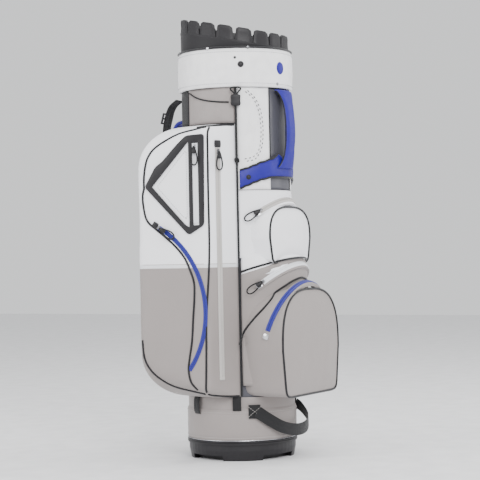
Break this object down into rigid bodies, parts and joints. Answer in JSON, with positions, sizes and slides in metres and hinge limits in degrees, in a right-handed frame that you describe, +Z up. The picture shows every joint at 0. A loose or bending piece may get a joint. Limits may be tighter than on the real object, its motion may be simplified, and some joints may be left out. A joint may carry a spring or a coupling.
{
  "type": "golf cart bag",
  "caption": "Free-standing golf cart bag with a club organiser top, side and front zip pockets, handles and a shoulder strap.",
  "frame": {"origin": "on the bag's axis at the floor, in the middle of the flat base", "axes": "+Z up along the bag, -Y towards the front pockets, +Y towards the spine, -X towards the bag's left pocket"},
  "size_m": [0.3769, 0.3262, 0.8979],
  "materials": {
    "blue_zip": "coated zip tape",
    "white_zip": "coated zip tape",
    "grey_zip": "coated zip tape",
    "zip_metal": "polished",
    "black_cord": "braided",
    "black_plastic": "moulded, satin",
    "divider_fabric": "fleece over board",
    "blue_leather": "synthetic leather, fine grain",
    "black_webbing": "woven webbing",
    "black_fabric": "padded mesh",
    "stay_metal": "brushed",
    "white_fabric": "coated fabric, satin",
    "grey_fabric": "coated fabric, satin"
  },
  "bodies": {
    "bag": {"apparel_left_zip": "blue_zip", "apparel_right_zip": "blue_zip", "base_band": "grey_fabric", "base_moulding": "black_plastic", "base_rim": "black_plastic", "base_web_strap": "black_webbing", "bungee_cord": "black_cord", "bungee_knot": "black_cord", "bungee_tail": "black_cord", "centre_left_zip": "grey_zip", "collar_cuff": "white_fabric", "collar_snap": "black_plastic", "collar_trim": "black_fabric", "divider_front": "divider_fabric", "divider_middle": "divider_fabric", "divider_rear": "divider_fabric", "front_handle": "blue_leather", "front_left_panel": "white_fabric", "front_lower_pocket": "grey_fabric", "front_lower_zip": "blue_zip", "front_middle_pocket": "grey_fabric", "front_middle_zip": "white_zip", "front_panel": "white_fabric", "front_right_panel": "white_fabric", "front_upper_pocket": "white_fabric", "front_upper_zip": "grey_zip", "handle_yoke": "blue_leather", "inner_floor": "black_plastic", "neck_back_panel": "black_fabric", "neck_left_panel": "grey_fabric", "neck_right_panel": "grey_fabric", "organiser_grid": "black_plastic", "organiser_ring": "black_plastic", "rear_handle": "blue_leather", "shoulder_pad": "black_fabric", "side_pocket_left": "grey_fabric", "side_pocket_right": "grey_fabric", "spine_panel": "grey_fabric", "spine_stay_left": "stay_metal", "spine_stay_right": "stay_metal", "strap_web_lower": "black_webbing", "strap_web_upper": "black_webbing", "tube_wall": "grey_fabric", "valuables_frame": "black_plastic", "valuables_zip": "white_zip"},
    "centre_left_slider": {"centre_left_slider": "zip_metal"},
    "centre_left_pull": {"centre_left_pull": "black_cord"},
    "valuables_slider": {"valuables_slider": "zip_metal"},
    "valuables_pull": {"valuables_pull": "black_cord"},
    "apparel_left_slider": {"apparel_left_slider": "zip_metal"},
    "apparel_left_pull": {"apparel_left_pull": "black_cord"},
    "apparel_right_slider": {"apparel_right_slider": "zip_metal"},
    "apparel_right_pull": {"apparel_right_pull": "black_cord"},
    "front_upper_slider": {"front_upper_slider": "zip_metal"},
    "front_upper_pull": {"front_upper_pull": "black_cord"},
    "front_middle_slider": {"front_middle_slider": "zip_metal"},
    "front_middle_pull": {"front_middle_pull": "black_cord"},
    "front_lower_slider": {"front_lower_slider": "zip_metal"},
    "front_lower_pull": {"front_lower_pull": "black_cord"},
    "cord_lock": {"cord_lock": "black_plastic"}
  },
  "joints": [
    {"name": "centre_left_slider_joint", "type": "slide", "parent": "bag", "child": "centre_left_slider", "axis": [0, 0, -1], "range_m": [0, 0.425]},
    {"name": "centre_left_pull_hinge", "type": "hinge", "parent": "centre_left_slider", "child": "centre_left_pull", "pos_m": [-0.13887, -0.04081, 0.612], "axis": [-0.9057, 0.424, 0], "range_deg": [0, 85]},
    {"name": "valuables_slider_joint", "type": "slide", "parent": "bag", "child": "valuables_slider", "axis": [0, 0, -1], "range_m": [0, 0.138]},
    {"name": "valuables_pull_hinge", "type": "hinge", "parent": "valuables_slider", "child": "valuables_pull", "pos_m": [-0.17329, -0.00323, 0.622], "axis": [-0.1772, 0.9842, 0], "range_deg": [0, 85]},
    {"name": "apparel_left_slider_joint", "type": "hinge", "parent": "bag", "child": "apparel_left_slider", "pos_m": [-0.20194, 0.1746, 0.29821], "axis": [0.9842, 0.1772, 0], "range_deg": [0, 90]},
    {"name": "apparel_left_pull_hinge", "type": "hinge", "parent": "apparel_left_slider", "child": "apparel_left_pull", "pos_m": [-0.18682, 0.07193, 0.46396], "axis": [-0.094, 0.5221, -0.8477], "range_deg": [0, 85]},
    {"name": "apparel_right_slider_joint", "type": "hinge", "parent": "bag", "child": "apparel_right_slider", "pos_m": [0.20194, 0.1746, 0.29821], "axis": [0.9842, -0.1772, 0], "range_deg": [0, 90]},
    {"name": "apparel_right_pull_hinge", "type": "hinge", "parent": "apparel_right_slider", "child": "apparel_right_pull", "pos_m": [0.18682, 0.07193, 0.46396], "axis": [-0.094, -0.5221, 0.8477], "range_deg": [0, 85]},
    {"name": "front_upper_slider_joint", "type": "hinge", "parent": "bag", "child": "front_upper_slider", "pos_m": [0, -0.0575, 0.46721], "axis": [0, 0.6441, 0.7649], "range_deg": [0, 112]},
    {"name": "front_upper_pull_hinge", "type": "hinge", "parent": "front_upper_slider", "child": "front_upper_pull", "pos_m": [-0.07404, -0.09289, 0.49701], "axis": [0, 0.6441, 0.7649], "range_deg": [0, 85]},
    {"name": "front_middle_slider_joint", "type": "hinge", "parent": "bag", "child": "front_middle_slider", "pos_m": [0, -0.07506, 0.33214], "axis": [0, 0.6429, 0.766], "range_deg": [0, 132]},
    {"name": "front_middle_pull_hinge", "type": "hinge", "parent": "front_middle_slider", "child": "front_middle_pull", "pos_m": [-0.08984, -0.10287, 0.35548], "axis": [0, 0.6429, 0.766], "range_deg": [0, 85]},
    {"name": "front_lower_slider_joint", "type": "hinge", "parent": "bag", "child": "front_lower_slider", "pos_m": [0, -0.12076, 0.24868], "axis": [0, -0.9465, -0.3227], "range_deg": [0, 164]},
    {"name": "front_lower_pull_hinge", "type": "hinge", "parent": "front_lower_slider", "child": "front_lower_pull", "pos_m": [0.11857, -0.12478, 0.26048], "axis": [0, -0.9465, -0.3227], "range_deg": [0, 85]},
    {"name": "cord_lock_slide", "type": "slide", "parent": "bag", "child": "cord_lock", "axis": [0, 0, -1], "range_m": [0, 0.033]}
  ]
}
